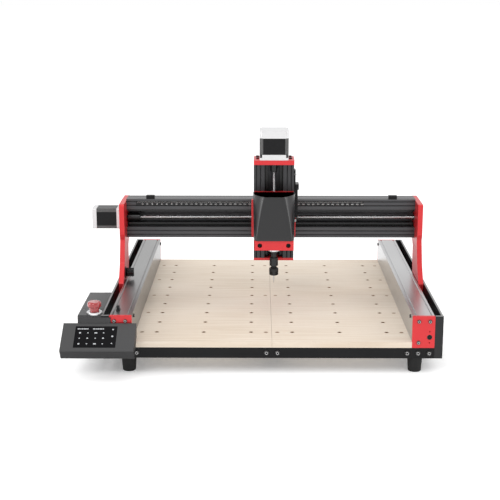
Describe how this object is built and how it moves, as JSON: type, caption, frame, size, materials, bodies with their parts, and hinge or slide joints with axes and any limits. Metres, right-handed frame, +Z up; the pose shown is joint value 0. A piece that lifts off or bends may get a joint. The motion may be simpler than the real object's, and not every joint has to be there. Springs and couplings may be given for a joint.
{
  "type": "cnc router",
  "caption": "Bench-top three-axis CNC router: wooden bed between two rails, red-sided gantry, X carriage with upright Z slide, spindle with collet, control box and touch screen.",
  "frame": {"origin": "centre of the wooden bed's top face, on the seam between its two boards", "axes": "+X to the operator's right, +Y away from the operator along the side rails, +Z up"},
  "size_m": [0.689, 0.7192, 0.414],
  "materials": {
    "foot_rubber": "matte",
    "black_frame": "satin anodised",
    "rail_aluminium": "satin anodised",
    "steel_bolts": "bright",
    "black_steel": "black oxide",
    "birch_board": "sanded",
    "brass": "plain",
    "red_anodised": "satin",
    "motor_silver": "bead blasted",
    "motor_black": "satin",
    "slider_aluminium": "satin",
    "box_black": "satin",
    "ruler_print": "printed",
    "screen_plastic": "satin",
    "display_glass": "glossy black",
    "stop_metal": "satin",
    "stop_red": "glossy"
  },
  "bodies": {
    "base": {"feet": "foot_rubber", "cross_beams": "black_frame", "under_profiles": "black_frame", "cross_beam_bolts": "steel_bolts", "spoilboard_left": "birch_board", "spoilboard_right": "birch_board", "board_inserts": "brass", "board_screws": "brass", "y_rail_left": "rail_aluminium", "y_rail_right": "rail_aluminium", "y_guides": "steel_bolts", "rail_covers": "black_frame", "end_plates": "red_anodised", "end_plate_screws": "black_steel", "y_screw_bearings": "steel_bolts", "y_motors": "motor_black", "control_box_base": "box_black", "control_box_lid": "box_black", "estop_base": "stop_metal", "screen_case": "screen_plastic", "display_panel": "display_glass"},
    "gantry": {"gantry_plate_left": "red_anodised", "gantry_plate_right": "red_anodised", "gantry_bolts": "black_steel", "x_beam": "black_frame", "x_guides": "black_steel", "stop_blocks": "black_frame", "ruler_strip": "ruler_print", "x_motor_bells": "motor_silver", "x_motor_stack": "motor_black", "x_screw_bearing": "steel_bolts", "y_sliders": "slider_aluminium"},
    "x_carriage": {"x_carriage_plate": "red_anodised", "x_slider": "slider_aluminium", "z_profile": "black_frame", "z_guides": "black_steel", "z_end_plates": "red_anodised", "z_motor_bells": "motor_silver", "z_motor_stack": "motor_black", "z_top_screws": "black_steel", "connector_bracket": "black_frame"},
    "z_carriage": {"z_slider": "slider_aluminium", "spindle_plate": "red_anodised", "clamp_front_half": "red_anodised", "clamp_rear_half": "red_anodised", "clamp_bolts": "black_steel", "spindle_cover": "box_black", "spindle_motor": "slider_aluminium"},
    "spindle": {"spindle_shaft": "steel_bolts", "tool_holder": "black_steel", "collet_nut": "black_steel", "cutter": "steel_bolts"},
    "x_screw": {"x_lead_screw": "steel_bolts", "x_coupler": "black_steel"},
    "z_screw": {"z_lead_screw": "steel_bolts", "z_coupler": "black_steel"},
    "y_screw_left": {"y_lead_screw_left": "steel_bolts"},
    "y_screw_right": {"y_lead_screw_right": "steel_bolts"},
    "stop_button": {"estop_knob": "stop_red"},
    "power_switch": {"power_rocker": "screen_plastic"}
  },
  "joints": [
    {"name": "y_slide", "type": "slide", "parent": "base", "child": "gantry", "axis": [0, 1, 0], "range_m": [-0.196, 0.264]},
    {"name": "x_slide", "type": "slide", "parent": "gantry", "child": "x_carriage", "axis": [1, 0, 0], "range_m": [-0.2355, 0.2245]},
    {"name": "z_slide", "type": "slide", "parent": "x_carriage", "child": "z_carriage", "axis": [0, 0, 1], "range_m": [-0.052, 0.028]},
    {"name": "spindle_turn", "type": "hinge", "parent": "z_carriage", "child": "spindle", "pos_m": [0.0055, -0.103, 0.1], "axis": [0, 0, 1], "continuous": true},
    {"name": "x_screw_turn", "type": "hinge", "parent": "gantry", "child": "x_screw", "pos_m": [0, 0.012, 0.165], "axis": [1, 0, 0], "continuous": true},
    {"name": "y_screw_left_turn", "type": "hinge", "parent": "base", "child": "y_screw_left", "pos_m": [-0.2865, 0, 0.0094], "axis": [0, 1, 0], "continuous": true},
    {"name": "y_screw_right_turn", "type": "hinge", "parent": "base", "child": "y_screw_right", "pos_m": [0.2865, 0, 0.0094], "axis": [0, 1, 0], "continuous": true},
    {"name": "z_screw_turn", "type": "hinge", "parent": "x_carriage", "child": "z_screw", "pos_m": [0.0055, -0.05, 0.19], "axis": [0, 0, 1], "continuous": true},
    {"name": "stop_press", "type": "slide", "parent": "base", "child": "stop_button", "axis": [0, 0, -1], "range_m": [0, 0.004], "stiffness_N_per_m": 800},
    {"name": "power_switch_tilt", "type": "hinge", "parent": "base", "child": "power_switch", "pos_m": [-0.352, -0.182, 0.014], "axis": [0, 0, 1], "range_deg": [-8, 8]}
  ],
  "couplings": [
    {"joint": "x_screw_turn", "follows": "x_slide", "rad_per_m": -785.4},
    {"joint": "y_screw_left_turn", "follows": "y_slide", "rad_per_m": -785.4},
    {"joint": "y_screw_right_turn", "follows": "y_slide", "rad_per_m": -785.4},
    {"joint": "z_screw_turn", "follows": "z_slide", "rad_per_m": -785.4}
  ]
}
